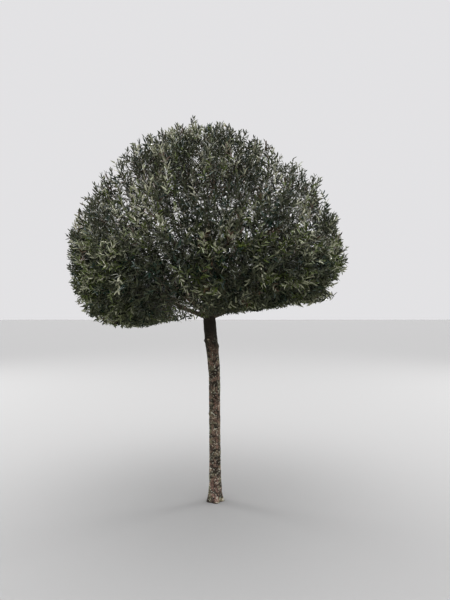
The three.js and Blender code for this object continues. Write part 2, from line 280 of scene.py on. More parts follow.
def add_soft_lamp(name, place, power):
    bpy.ops.object.light_add(type="AREA", location=place)
    lamp = bpy.context.object
    lamp.name = name
    lamp.data.size = LAMP_SIZE
    lamp.data.energy = power
    lamp.rotation_euler = (LAMP_AIM - Vector(place)).to_track_quat("-Z", "Y").to_euler()


add_floor()
add_sky()
for name, lamp in LAMPS.items():
    add_soft_lamp(name, *lamp)
bpy.context.scene.view_settings.view_transform = "Standard"
bpy.context.scene.view_settings.gamma = TONE_CURVE
print("stage ready")

# %% [markdown]
# ## The shape of the crown
#
# Shears have made the crown a dome, with a flatter underside that hangs lower on the left. Two half
# ellipsoids with their own powers give that shape in one test: is a point inside or not? The same
# test, shrunk towards the fork, tells how near to the outline a point is. A modelled shell could be
# asked the same question, but a formula is quicker and has no gaps.

# %% Crown outline
CENTRE_X, WIDEST_Z = -0.061, 2.135
RADIUS, RISE, DROP = 1.167, 1.125, 0.625  # from there out, up and down to the outline
TOP_LEFT = 0.090  # how far the top stands to the left
TILT = 0.144  # how much lower the underside hangs on the left
DOME_POWER, SKIRT_POWER = 1.65, 2.95  # 2 would make an ellipsoid, and more makes it squarer
ARCH_RISE, ARCH_RADIUS = 0.135, 0.490  # the underside rises round the stem
FORK = np.array([-0.056, 0.0, 1.720])


def crown_x(z):
    """The middle of the crown at a height: the top stands a little to the left."""
    return CENTRE_X - TOP_LEFT * (np.maximum(0, z - WIDEST_Z) / RISE) ** 2


def crown_level(p):
    """0 in the middle of the crown, 1 on its outline."""
    x = p[..., 0] - crown_x(p[..., 2])
    out = np.hypot(x, p[..., 1])
    above = p[..., 2] - WIDEST_Z
    depth = DROP - TILT * x - ARCH_RISE * np.exp(-((out / ARCH_RADIUS) ** 2))
    level = np.where(above >= 0, above / RISE, -above / depth)
    power = np.where(above >= 0, DOME_POWER, SKIRT_POWER)
    return (out / RADIUS) ** power + np.abs(level) ** power


def inside_crown(p):
    return crown_level(p) <= 1


def outwards(p, step=0.002):
    """The way out of the crown at each point, square to its outline."""
    slopes = [crown_level(p + step * axis) - crown_level(p - step * axis) for axis in np.eye(3)]
    return unit(np.stack(slopes, -1))


def beyond_share(p, share):
    """True where p is further from the fork than this share of the way to the outline."""
    return ~inside_crown(FORK + (p - FORK) / share)


def within_skin(p, depth):
    """True where the outline is nearer than this depth."""
    return inside_crown(p) & ~inside_crown(p + depth * outwards(p))


def reach_of_crown(p, direction, most, step=0.005):
    far = 0.0
    while far < most and inside_crown(p + direction * (far + step)):
        far += step
    return far


print("top of the crown", round(FORK[2] + reach_of_crown(FORK, UP, 3.0), 3))

# %% [markdown]
# ## Sharing out the crown
#
# Each bough carries one mass of foliage and feeds only that one. The crown is shared out like
# territories: a point belongs to the mass whose middle is nearest. The middles lie in a low ring, the
# skirt, a high ring, the shoulder, and one on top, the crest. The inside of the crown, where no light
# comes, stays bare. Only boughs run there.

# %% Masses of foliage
HOLLOW = 0.45  # the bare inside, as a share of the way from the fork to the outline
RINGS = [  # where the middles of the masses lie, and the heights at which their boughs start
    dict(name="skirt", count=6, reach=0.800, height=1.940, turn=180, first_z=1.585, step_z=0.018),
    dict(name="shoulder", count=5, reach=0.610, height=2.590, turn=216, first_z=1.850, step_z=0.042),
    dict(name="crest", count=1, reach=0.0, height=2.960, turn=0, first_z=1.740, step_z=0.0),
]


def share_out_crown():
    masses = []
    for ring in RINGS:
        count, height = ring["count"], ring["height"]
        for i in range(count):
            angle = math.radians(ring["turn"] + 360 * i / count)
            x = crown_x(height) + ring["reach"] * math.cos(angle)
            y = ring["reach"] * math.sin(angle)
            mass = dict(ring=ring["name"], centre=np.array([x, y, height]), index=len(masses))
            mass["name"] = f"{ring['name']}_{i + 1}" if count > 1 else ring["name"]
            mass["start_z"] = ring["first_z"] + ring["step_z"] * (i * 2 % count)
            masses.append(mass)
    return masses


masses = share_out_crown()


def in_own_space(p, mass, clear):
    """True for points of a mass's own territory that lie this clear of its walls."""
    fits = inside_crown(p) & beyond_share(p, HOLLOW)
    own = ((p - mass["centre"]) ** 2).sum(-1)
    for other in masses:
        if other is not mass:
            apart = np.linalg.norm(other["centre"] - mass["centre"])
            to_wall = (((p - other["centre"]) ** 2).sum(-1) - own) / (2 * apart)
            fits = fits & (to_wall >= clear)
    return fits


print(len(masses), "masses:", ", ".join(mass["name"] for mass in masses))

# %% [markdown]
# ## The run of the limbs
#
# The stem stands straight to 1.3 m and then leans left. It swells where old shoots were cut off and
# flares at the roots. The leader goes on from it, and the boughs leave in turn, low ones nearly level
# and high ones steeply. Each limb is a line of centres with a radius at each. A quadratic curve has
# just enough freedom for the single easy bend of a young bough.

# %% Lines of the limbs
STEM_TOP, STEM_RADIUS = 1.740, 0.049
FLARE, FLARE_HEIGHT = 0.025, 0.075
ROOT_LOBES, LOBE_DEPTH, LOBE_TURN = 5, 0.35, 0.7
FLUTES, FLUTE_DEPTH, FLUTE_PITCH = 3, 0.025, 0.260
BURR, BURR_Z, BURR_SPAN = 0.007, 1.410, 0.230  # the swelling where old shoots were cut off
NECK_FROM, NECK_RADIUS = 1.600, 0.037
LEAN_X, EVEN_LEAN = -0.056, 0.12  # the lean at the top, and the share of it that is not in the bend
BEND_Z, BEND_SPAN, SWAY_Y = 1.330, 0.330, 0.016
LEADER_ROOT = 0.008  # how deep the leader starts inside the stem
LEADER_BOW = (-0.004, -0.008)
BASE_RADIUS = {"crest": 0.035, "skirt": 0.021, "shoulder": 0.018}
TIP_RADIUS = {"crest": 0.014, "skirt": 0.011, "shoulder": 0.011}
FIRST_RISE = {"skirt": 0.2, "shoulder": 0.42}  # the share of its rise that a bough's control point has
TAPER = 1.2
BOUGH_RINGS = 8


def stem_centre(z):
    bend = smooth_step(BEND_Z - BEND_SPAN, BEND_Z + BEND_SPAN, z)
    sway = SWAY_Y * math.sin(math.pi * z / STEM_TOP)
    return np.array([LEAN_X * (EVEN_LEAN * z / STEM_TOP + (1 - EVEN_LEAN) * bend), sway, z])


def stem_radius(z, angle=0.0):
    neck = smooth_step(NECK_FROM, STEM_TOP, z)
    lobes = 1 + LOBE_DEPTH * math.cos(ROOT_LOBES * angle + LOBE_TURN)
    burr = BURR * math.exp(-(((z - BURR_Z) / BURR_SPAN) ** 2))
    fluted = 1 + FLUTE_DEPTH * math.cos(FLUTES * angle + z / FLUTE_PITCH)
    body = (STEM_RADIUS + burr) * fluted * (1 - neck) + NECK_RADIUS * neck
    return body + FLARE * math.exp(-z / FLARE_HEIGHT) * lobes


def on_curve(start, control, end, t):
    return (1 - t) ** 2 * start + 2 * (1 - t) * t * control + t * t * end


def leader_centre(share, tip):
    start = stem_centre(STEM_TOP - LEADER_ROOT)
    control = start + np.array([*LEADER_BOW, 0.5 * (tip[2] - start[2])])
    return on_curve(start, control, tip, share)


def bough_tip(mass):
    """Where the line from the fork to a mass's middle leaves the bare inside of the crown."""
    to_mass = unit(mass["centre"] - FORK)
    far = 0.0
    while not beyond_share(FORK + to_mass * far, HOLLOW):
        far += 0.005
    return FORK + to_mass * far


def bough_centres(mass, leader_tip, steps=BOUGH_RINGS):
    tip = bough_tip(mass)
    shares = [i / steps for i in range(steps + 1)]
    if mass["ring"] == "crest":
        return [leader_centre(share, tip) for share in shares]
    on_leader = mass["ring"] == "shoulder"
    share = (mass["start_z"] - STEM_TOP) / (leader_tip[2] - STEM_TOP)
    start = leader_centre(share, leader_tip) if on_leader else stem_centre(mass["start_z"])
    control = (start + tip) / 2
    control[2] = start[2] + FIRST_RISE[mass["ring"]] * (tip[2] - start[2])
    return [on_curve(start, control, tip, share) for share in shares]


def bough_radius(mass, share):
    base, tip = BASE_RADIUS[mass["ring"]], TIP_RADIUS[mass["ring"]]
    return tip + (base - tip) * (1 - share) ** TAPER


leader_tip = bough_tip(masses[-1])
for mass in masses:
    mass["centres"] = bough_centres(mass, leader_tip)
print("the leader ends at", leader_tip.round(3))

# %% [markdown]
# ## Keeping clear of the limbs
#
# Twigs and leaves grow round a bough, never through it. The limbs are turned into a cloud of points
# with a radius each, and anything that grows is measured against that cloud.


# %% Points along the limbs
POINT_GAP = 0.040


def limb_points():
    heights = np.arange(0, STEM_TOP + 1e-9, POINT_GAP)
    points = [(stem_centre(z), stem_radius(z)) for z in heights]
    for mass in masses:
        for ring in range(BOUGH_RINGS):
            for part in (0, 0.5):
                here, ahead = mass["centres"][ring], mass["centres"][ring + 1]
                radius = bough_radius(mass, (ring + part) / BOUGH_RINGS)
                points.append((here + (ahead - here) * part, radius))
    return np.array([at for at, _ in points]), np.array([radius for _, radius in points])


limb_at, limb_radius = limb_points()


def clear_of_limbs(p, clear):
    distance = np.linalg.norm(p[..., None, :] - limb_at, axis=-1)
    return (distance > limb_radius + clear).all(-1)


print(len(limb_at), "points along the limbs")

# %% [markdown]
# ## How twigs grow
#
# A tree fills its space: each new shoot goes where there is still light and room, and joins the
# branch that is the shortest way back. The rule has those two steps. Ends are drawn one at a time,
# and of a few drawn places the loneliest is kept. Then each end joins the grown twigs at the point that
# costs least, counted as the distance to it and a share of the way from there back to the bough.
#
# The first ends repeat the model's own twigs. Many more and finer ones come after them, close under the
# outline, because a clipped crown carries its leaves there.

# %% Growth rule
SEED = 7
SHOOT_FROM, SHOOT_TO = 0.66, 0.86  # shares of the way to the outline between which twigs end
SHOOTS, CANDIDATES = 18, 12  # the twigs of a mass, and how many places are drawn for each
DRAW_SPAN, BATCH = 1.500, 2048
STEM_LENGTH = 0.090  # the straight start of a mass's first twig
PATH_WEIGHT = 0.3  # what the way back to the bough counts, beside the distance
BEND = 0.35
TWIG_STEP = 0.300
KEEP_CLEAR = 0.006


def places(draw, mass, fits):
    """Endless places of a mass that pass a test, in the order in which they are drawn."""
    while True:
        p = mass["centre"] + DRAW_SPAN * (draw() - 0.5)
        yield from p[fits(p)]


def lonely_ends(source, ends, count, candidates):
    """Adds ends until there are count of them. Each is the loneliest of a few places."""
    ends = list(ends)
    while len(ends) < count:
        drawn = np.array([next(source) for _ in range(candidates)])
        alone = np.linalg.norm(drawn[:, None] - np.array(ends), axis=2).min(1)
        ends.append(drawn[int(alone.argmax())])
    return ends


def first_ends(mass):
    random = seeded(SEED * 1000 + mass["index"])
    outward = unit(mass["centre"] - FORK)
    on_axis = FORK + outward * SHOOT_TO * reach_of_crown(FORK, outward, 2 * RADIUS)

    def draw():
        return np.array([random() for _ in range(3 * BATCH)]).reshape(-1, 3)

    def fits(p):
        inside = in_own_space(p, mass, 4 * KEEP_CLEAR)
        return inside & beyond_share(p, SHOOT_FROM) & ~beyond_share(p, SHOOT_TO)

    return lonely_ends(places(draw, mass, fits), [on_axis], SHOOTS, CANDIDATES)


class Twigs:
    """The skeleton of a mass's twigs: nodes with a parent each, and the chains that were added."""

    def __init__(self, mass):
        tip, before = mass["centres"][-1], mass["centres"][-2]
        heading = unit(tip - before)
        self.at = [tip, tip + heading * STEM_LENGTH]
        self.parent = [-1, 0]
        self.way = [0.0, STEM_LENGTH]
        self.heading = [heading, heading]
        self.chains = [[0, 1]]

    def cheapest(self, end):
        """The node from which a twig to this end costs least."""
        distance = np.linalg.norm(np.array(self.at) - end, axis=1)
        cost = distance + PATH_WEIGHT * np.array(self.way)
        return 1 + int(cost[1:].argmin())

    def way_to(self, parent, end, step):
        """Points from a node to an end, along a twig that leaves it the way it heads."""
        start = self.at[parent]
        length = np.linalg.norm(end - start)
        control = start + self.heading[parent] * BEND * length
        steps = max(1, int(length / step + 0.5))
        return [on_curve(start, control, end, i / steps) for i in range(1, steps + 1)]

    def add(self, parent, points):
        """Adds a chain of nodes and returns their numbers, that of the parent first."""
        chain = [parent]
        for at in points:
            last = chain[-1]
            gone = np.linalg.norm(at - self.at[last])
            self.at.append(at)
            self.parent.append(last)
            self.way.append(self.way[last] + gone)
            self.heading.append((at - self.at[last]) / gone)
            chain.append(len(self.at) - 1)
        self.chains.append(chain)
        return chain


def grow_first(mass):
    twigs = Twigs(mass)
    for end in sorted(first_ends(mass), key=lambda end: np.linalg.norm(end - twigs.at[0])):
        parent = twigs.cheapest(end)
        points = twigs.way_to(parent, end, TWIG_STEP)
        p = np.array(points)
        if (in_own_space(p, mass, 2 * KEEP_CLEAR) & clear_of_limbs(p, 2 * KEEP_CLEAR)).all():
            twigs.add(parent, points)
    return twigs


for mass in masses:
    mass["twigs"] = grow_first(mass)
print("first twigs in each mass:", [len(mass["twigs"].chains) - 1 for mass in masses])

# %% [markdown]
# ## Finer twigs
#
# Now the crown fills up with this year's shoots. Most of their tips lie just inside the outline, where
# the shears left them, and a third lie deeper. They may cross a little into the next mass, so that no
# seam shows. A shoot heads out of the crown and up towards the light, low ones less than high
# ones, and its foot joins the older twigs by the same rule as before.
#
# An even fill would look like a hedge. So a slow noise thins out the shoots between tufts, least in the
# dense lower part, and some round places are thinner still, so that sky shows through. A second noise
# makes the clipped outline a little uneven. Last come a few shoots that the shears have missed.

# %% Shoots
SHOOTS_IN = {"skirt": 760, "shoulder": 500, "crest": 370}
INNER_SHARE = 0.34  # of the shoots end deeper in the crown
SKIN, INNER_SKIN = 0.090, 0.340
FINE_CANDIDATES, FINE_BATCH = 5, 20000
FINE_STEP = 0.075
FINE_CLEAR = 0.008
CROSS_WALL = -0.035
TUFT_SPAN, TUFT_GAPS = 0.11, (-0.32, 0.02)
DENSE_FROM, DENSE_TO, DENSE = 2.36, 2.12, 0.90
BUMP_SPAN, BUMP_HEIGHT, BUMP_SHIFT = 0.11, 0.035, Vector((9, 9, 9))
SHOOT_LENGTH, SHOOT_PIECES, SAG = (0.10, 0.19), 3, 0.12
OUT, LIFT_LOW, LIFT_HIGH, WAYWARD = 0.65, 0.10, 0.75, 0.42
LIFT_FROM, LIFT_TO = 1.60, 2.50
THIN = [  # x, z and radius of places where sky shows through, and the share of leaves kept there
    (0.56, 2.66, 0.36, 0.20),
    (-0.68, 2.66, 0.32, 0.05),
    (-0.05, 2.58, 0.32, 0.40),
    (-0.90, 2.38, 0.20, 0.45),
    (0.80, 2.32, 0.24, 0.35),
    (-0.13, 1.62, 0.13, 0.00),
    (-0.31, 1.64, 0.16, 0.00),
]
STRAYS = [  # the middle of a few shoots that stand out of the outline, their spread and their number
    ((-0.181, -0.200, 3.262), (0.006, 0.010, 0.008), 1),
    ((0.850, -0.050, 2.690), (0.040, 0.120, 0.050), 16),
    ((0.895, -0.050, 2.775), (0.012, 0.012, 0.012), 2),
    ((0.730, -0.050, 2.885), (0.050, 0.120, 0.035), 12),
    ((-0.590, -0.050, 3.000), (0.050, 0.140, 0.015), 14),
    ((0.830, 0.000, 1.745), (0.055, 0.220, 0.030), 70),
    ((-1.000, 0.000, 2.560), (0.040, 0.140, 0.090), 24),
    ((0.100, -0.150, 3.150), (0.050, 0.100, 0.020), 5),
]
STRAY_REACH = 1.16


def shoot_tips(mass, generator):
    twigs = mass["twigs"]
    known = [twigs.at[chain[-1]] for chain in twigs.chains[1:]]

    def draw():
        return generator.random((FINE_BATCH, 3))

    def near_skin(p):
        return in_own_space(p, mass, CROSS_WALL) & within_skin(p, SKIN)

    def deeper(p):
        inside = in_own_space(p, mass, CROSS_WALL) & ~within_skin(p, SKIN)
        return inside & within_skin(p, INNER_SKIN)

    count = SHOOTS_IN[mass["ring"]]
    inner = int(count * INNER_SHARE)
    skin = len(known) + count - inner
    tips = lonely_ends(places(draw, mass, near_skin), known, skin, FINE_CANDIDATES)
    tips = lonely_ends(places(draw, mass, deeper), tips, skin + inner, FINE_CANDIDATES)
    return tips[len(known) :]


def cover(p):
    """The share of shoots, and again of their leaves, at a place: less where the crown is thin."""
    share = 1.0
    for x, z, radius, kept in THIN:
        near = np.exp(-((p[..., 0] - x) ** 2 + (p[..., 2] - z) ** 2) / radius**2)
        share = share * (1 - (1 - kept) * near)
    return np.sqrt(share)


def fullness(p):
    """The share of the shoots that stand at a place: few between tufts and where the crown is thin."""
    dense = DENSE * smooth_step(DENSE_FROM, DENSE_TO, p[2])
    return cover(p) * max(dense, smooth_step(*TUFT_GAPS, noise.noise(Vector(p) / TUFT_SPAN)))


def bumpy(tip):
    """The clipped outline isn't quite even: a tip is moved out or in with its neighbours."""
    return tip + outwards(tip) * BUMP_HEIGHT * noise.noise(Vector(tip) / BUMP_SPAN + BUMP_SHIFT)


def shoot_to(tip, generator):
    """Points of a shoot from its foot to its tip: out first, then bending up."""
    lift = LIFT_LOW + (LIFT_HIGH - LIFT_LOW) * smooth_step(LIFT_FROM, LIFT_TO, tip[2])
    heading = unit(OUT * outwards(tip) + lift * UP + generator.normal(0, WAYWARD, 3))
    length = generator.uniform(*SHOOT_LENGTH)
    foot = tip - heading * length
    knee = (foot + tip) / 2 - SAG * length * lift * UP
    return [on_curve(foot, knee, tip, i / SHOOT_PIECES) for i in range(SHOOT_PIECES + 1)]


def shoot_with_twig(twigs, tip, generator):
    """The node from which a shoot to this tip costs least, and the points from there to the tip."""
    shoot = shoot_to(tip, generator)
    parent = twigs.cheapest(shoot[0])
    return parent, twigs.way_to(parent, shoot[0], FINE_STEP) + shoot[1:]


def grow_shoots(mass):
    twigs = mass["twigs"]
    generator = np.random.default_rng(SEED * 3000 + mass["index"])
    root = twigs.at[0]
    shoots = []
    tips = [tip for tip in shoot_tips(mass, generator) if generator.random() < fullness(tip)]
    for tip in sorted(tips, key=lambda tip: np.linalg.norm(tip - root)):
        parent, points = shoot_with_twig(twigs, bumpy(tip), generator)
        p = np.array(points[:-1])
        if (inside_crown(p) & clear_of_limbs(p, FINE_CLEAR)).all():
            shoots.append(twigs.add(parent, points))
    return shoots


def grow_strays(mass):
    """The shoots of this mass that the shears have missed."""
    twigs = mass["twigs"]
    generator = np.random.default_rng(SEED * 5000 + mass["index"])
    strays = []
    for middle, spread, count in STRAYS:
        for tip in generator.normal(middle, spread, (count, 3)):
            nearest = min(masses, key=lambda other: np.linalg.norm(tip - other["centre"]))
            if nearest is mass and not beyond_share(tip, STRAY_REACH):
                strays.append(twigs.add(*shoot_with_twig(twigs, tip, generator)))
    return strays


for mass in masses:
    mass["shoots"] = grow_shoots(mass)
    mass["strays"] = grow_strays(mass)
print("leafy shoots:", sum(len(mass["shoots"]) for mass in masses))
print("shoots that stand out:", sum(len(mass["strays"]) for mass in masses))

# %% [markdown]
# ## How thick a twig is
#
# Each leafy shoot needs its own pipe for sap, all the way down to the bough. A twig that carries n
# shoots is as thick as its pipes bundled together, which on real trees goes with a root of n between
# the square root and the cube root. So the twigs taper by themselves, and meet the bough at the bough's
# own thickness.

# %% Twig thickness
PIPE_POWER = 2.5


def twig_radii(mass):
    twigs = mass["twigs"]
    carried = np.zeros(len(twigs.at))
    for chain in twigs.chains[1:]:
        i = chain[-1]
        while i >= 0:
            carried[i] += 1
            i = twigs.parent[i]
    pipes = np.maximum(1, carried) ** (1 / PIPE_POWER)
    return TIP_RADIUS[mass["ring"]] * pipes / pipes[0]


for mass in masses:
    mass["radii"] = twig_radii(mass)
thinnest = [round(2000 * mass["radii"].min(), 1) for mass in masses]
print("thinnest shoots, mm across:", thinnest)

# %% [markdown]
# ## Bark
#
# Olive bark on a young stem is patchy. New bark is reddish brown and old bark grey, with fine upright
# fissures, dark wrinkles that lie level, and lichen in pale flecks and rosettes. Painted images could
# show all that, but they would need a flat map of the stem. Noises on the object's own coordinates need
# none: drawn out upwards they make fissures, flattened they make wrinkles, and a little twist keeps
# them from lining up. Every wooden piece uses the same group of nodes with its own values. The deep
# cracks are a mark in the mesh, so that their colour lies where their relief is.

# %% Bark node group
BARK_VALUES = {"Grain Scale": 60.0, "Cracks": 0.0, "Lichen": 0.5, "Algae And Rim Light": 0.2, "Dark": 0.0}
BARK_TONES = {
    "Old": (0.225, 0.200, 0.142, 1),
    "Young": (0.265, 0.158, 0.130, 1),
    "Crack": (0.016, 0.011, 0.008, 1),
    "Lichen Tone": (0.54, 0.53, 0.45, 1),
    "Algae And Rim Tone": (0.185, 0.195, 0.105, 1),
}
FISSURE_DARK, CRACK_DARK, BLOTCH_DARK = 0.86, 0.65, 0.92
GRAIN_DARK = 0.42  # the least that the grain leaves of the tone
GRAIN_HEIGHT = 0.35


def bark_sockets(group):
    def socket(name, kind, way="INPUT"):
        return group.interface.new_socket(name=name, in_out=way, socket_type=f"NodeSocket{kind}")

    for name, value in BARK_VALUES.items():
        socket(name, "Float").default_value = value
    for name, tone in BARK_TONES.items():
        socket(name, "Color").default_value = tone
    socket("Colour", "Color", "OUTPUT")
    socket("Height", "Float", "OUTPUT")


def bark_group():
    group = bpy.data.node_groups.new("bark_tone", "ShaderNodeTree")
    bark_sockets(group)
    wire = Wiring(group)
    into = group.nodes.new("NodeGroupInput").outputs
    out = group.nodes.new("NodeGroupOutput").inputs
    here = wire.add("ShaderNodeTexCoord", "Object")
    upright = wire.add("ShaderNodeMapping", "Vector", Vector=here, Scale=(1, 1, 0.22))
    level = wire.add("ShaderNodeMapping", "Vector", Vector=here, Scale=(1, 1, 1.6))

    weight = wire.spots(here, 0.48, 0.60, scale=9.0, detail=4.0, roughness=0.62, twist=0.8)
    fissures = dict(scale=into["Grain Scale"], detail=4.0, roughness=0.65, twist=0.4)
    fissure = wire.spots(upright, 0.39, 0.50, **fissures)
    grain = wire.noise(here, scale=190.0)
    blotch = wire.spots(level, 0.42, 0.56, scale=19.0, detail=4.0, roughness=0.64, twist=0.3)
    fleck = wire.spots(here, 0.60, 0.65, scale=74.0, roughness=0.55, twist=0.2)
    rosette = wire.spots(here, 0.60, 0.64, scale=21.0, detail=5.0, roughness=0.68, twist=0.3)
    olive_spots = wire.spots(here, 0.38, 0.62, scale=33.0)

    surface = wire.mix(weight, into["Young"], into["Old"])
    # On the stem the share of this olive tone grows at its left and right sides, which is painted rim
    # light.
    surface = wire.mix(wire.math("MULTIPLY", into["Algae And Rim Light"], olive_spots), surface, into["Algae And Rim Tone"])
    surface = wire.mix(wire.ramp(grain, 0.30, 0.55, GRAIN_DARK), into["Crack"], surface)
    for spots, dark in ((fissure, FISSURE_DARK), (blotch, BLOTCH_DARK)):
        left = wire.math("MULTIPLY_ADD", spots, dark, 1 - dark)
        surface = wire.mix(left, into["Crack"], surface)
    surface = wire.mix(wire.math("MULTIPLY", into["Cracks"], CRACK_DARK), surface, into["Crack"])
    pale = wire.math("MAXIMUM", rosette, fleck)
    surface = wire.mix(wire.math("MULTIPLY", pale, into["Lichen"]), surface, into["Lichen Tone"])
    wire.put(wire.mix(into["Dark"], surface, into["Crack"]), out["Colour"])
    wire.put(wire.math("MULTIPLY_ADD", grain, GRAIN_HEIGHT, fissure), out["Height"])
    return group


bark = bark_group()
print("bark group has", len(bark.nodes), "nodes")

# %% Bark materials
BARK_ROUGHNESS = 0.92
BUMP_STRENGTH = 0.8


def bark_material(name, depth, **values):
    """A bark with its own values for the group's sockets."""
    material, wire, shader = plain_material(name, BARK_TONES["Old"], BARK_ROUGHNESS)
    tone = wire.nodes.new("ShaderNodeGroup")
    tone.name = "bark"
    tone.node_tree = bark
    for socket, value in values.items():
        wire.put(value, tone.inputs[socket.replace("_", " ")])
    wire.put(wire.mark("crack"), tone.inputs["Cracks"])
    wire.put(tone.outputs["Colour"], shader["Base Color"])
    bump = {"Height": tone.outputs["Height"], "Distance": depth, "Strength": BUMP_STRENGTH}
    wire.put(wire.add("ShaderNodeBump", "Normal", **bump), shader["Normal"])
    return material


stem_bark = bark_material("stem_bark", 0.003, Grain_Scale=95.0, Lichen=0.80)
bough_bark = bark_material("bough_bark", 0.002, Grain_Scale=120.0, Lichen=0.30, Dark=0.35)
twig_tones = {"Old": (0.26, 0.215, 0.16, 1), "Young": (0.20, 0.135, 0.095, 1)}
twig_bark = bark_material("twig_bark", 0.001, Grain_Scale=220.0, Lichen=0.15, **twig_tones)
print("bark materials:", stem_bark.name, bough_bark.name, twig_bark.name)

# %% [markdown]
# The stem's bark also changes from place to place. Its left and right sides take much more of the
# olive-grey algae tone than its front and back, which stay brown: that is painted rim light, the bright
# sky behind the tree shining on the stem's sides. Towards the top the bark is darkened, which is painted
# shade where the crown keeps the light off, and it is also darker on the knots, which carry a mark of
# their own in the mesh. Where a shoot was sawn off not long ago the pale wood still shows, and that is a
# second mark.

# %% Painted rim light on the sides, painted shade at the top, dark knots
# The olive-grey left and right sides of the stem are painted rim light, laid on as spots of the algae
# tone.
RIM_FROM, RIM_TO = 0.020, 0.046  # metres from the middle of the stem
OLIVE_IN_FRONT, PAINTED_RIM_AT_SIDES = 0.05, 0.85
# Painted shade: between these heights the stem's colour darkens towards the crack tone, for the crown's
# shade.
SHADE_FROM, SHADE_TO, SHADE = 1.16, 1.48, 0.97
KNOT_DARK = 0.80
CUT_WOOD = (0.62, 0.52, 0.38, 1)


def finish_stem_bark():
    wire = Wiring(stem_bark.node_tree)
    tone = wire.nodes["bark"]
    at = wire.split(wire.add("ShaderNodeTexCoord", "Object"))
    # Painted rim light: more of the olive tone towards the left and right sides of the leaning stem.
    lean = wire.ramp(at["Z"], BEND_Z - BEND_SPAN, BEND_Z + BEND_SPAN, 0.0, -LEAN_X)
    aside = wire.math("ABSOLUTE", wire.math("ADD", at["X"], lean))
    wire.put(wire.ramp(aside, RIM_FROM, RIM_TO, OLIVE_IN_FRONT, PAINTED_RIM_AT_SIDES), tone.inputs["Algae And Rim Light"])
    # Painted shade on the upper stem and the knots' own darker bark go in by the same socket.
    shade = wire.ramp(at["Z"], SHADE_FROM, SHADE_TO, 0.0, SHADE)
    knots = wire.math("MULTIPLY", wire.mark("knot"), KNOT_DARK)
    wire.put(wire.math("MAXIMUM", shade, knots), tone.inputs["Dark"])
    wood = wire.mix(wire.mark("cut"), tone.outputs["Colour"], CUT_WOOD)
    wire.put(wood, wire.nodes["Principled BSDF"].inputs["Base Color"])


finish_stem_bark()
print("stem bark has", len(stem_bark.node_tree.nodes), "nodes")

# %% [markdown]
# ## Stem and boughs
#
# A limb is a round thing that follows a line and tapers, which is just what a curve with a bevel is.
# Each limb is drawn as such a curve, turned into a mesh, and then given its bark relief by moving the
# vertices: plates and cracks from a cell noise, and slower swellings. A displacement in the shader would
# look the same from afar, but it would not change the silhouette, and close to the stem that shows.


# %% Limb from a curve
SPLIT_WIDTH, PATCH_WIDTH = 0.15, 2.6  # of a crack and of the patches that split, in plates
SPLITS = (-0.20, 0.35)  # levels of a noise between which the bark splits
LUMP_SPAN, LUMP_STRETCH, LUMP_NOISE = 0.055, 0.6, (0.9, 2.0, 3)
WANDER = Vector((0.01, 0, 0.03))  # how far the lumps push the cracks aside


def limb_mesh(name, centres, radii, sides):
    """A round limb along centres, as a closed mesh."""
    data = bpy.data.curves.new(name, "CURVE")
    data.dimensions = "3D"
    data.bevel_depth = 1.0
    data.bevel_resolution = sides // 2 - 2
    data.use_fill_caps = True
    line = data.splines.new("POLY")
    line.points.add(len(centres) - 1)
    for point, at, radius in zip(line.points, centres, radii):
        point.co = (*at, 1)
        point.radius = radius
    piece = bpy.data.objects.new(name, data)
    bpy.context.scene.collection.objects.link(piece)
    bpy.ops.object.select_all(action="DESELECT")
    bpy.context.view_layer.objects.active = piece
    piece.select_set(True)
    bpy.ops.object.convert(target="MESH")
    bpy.ops.object.mode_set(mode="EDIT")
    bpy.ops.mesh.select_all(action="SELECT")
    bpy.ops.mesh.remove_doubles(threshold=1e-5)
    bpy.ops.mesh.normals_make_consistent(inside=False)
    bpy.ops.object.mode_set(mode="OBJECT")
    bpy.ops.object.shade_smooth()
    return bpy.context.object


def carry(mesh, name, values):
    """Gives each vertex of a mesh a number that its material can read."""
    mesh.attributes.new(name, "FLOAT", "POINT").data.foreach_set("value", values)


def crack_depth(p, size, stretch=0.32):
    """How deep the bark lies at a point: 0 on a plate, up to 1 between plates where it has split."""
    near, next_near = noise.voronoi(Vector((p.x, p.y, p.z * stretch)) / size)[0][:2]
    split = smooth_step(*SPLITS, noise.noise(p / (PATCH_WIDTH * size)))
    return split * math.exp(-(((next_near - near) / SPLIT_WIDTH) ** 2))


def relieve(piece, depth, size, lumps):
    """Moves the vertices along their normals: cracks go in, lumps go out."""
    mesh = piece.data
    moved, cracks = [], []
    for vertex in mesh.vertices:
        p = vertex.co
        lump = noise.fractal(Vector((p.x, p.y, p.z * LUMP_STRETCH)) / LUMP_SPAN, *LUMP_NOISE)
        cracks.append(crack_depth(p + WANDER * lump, size))
        moved.append(p + vertex.normal * (lumps * lump - depth * cracks[-1]))
    for vertex, place in zip(mesh.vertices, moved):
        vertex.co = place
    carry(mesh, "crack", cracks)
    mesh.update()


def material_of(piece, material):
    piece.data.materials.clear()
    piece.data.materials.append(material)


# %% [markdown]
# The stem gets a denser mesh than the boughs, because it is what one sees up close. Its root flare and
# its flutes are not round, so they are added after the curve: every vertex is moved out or in to the
# radius that the stem has at that height and on that side. Old pruning wounds are knots, each a bell
# of a given size and height on one side of the stem, and so are the few fresh cuts.

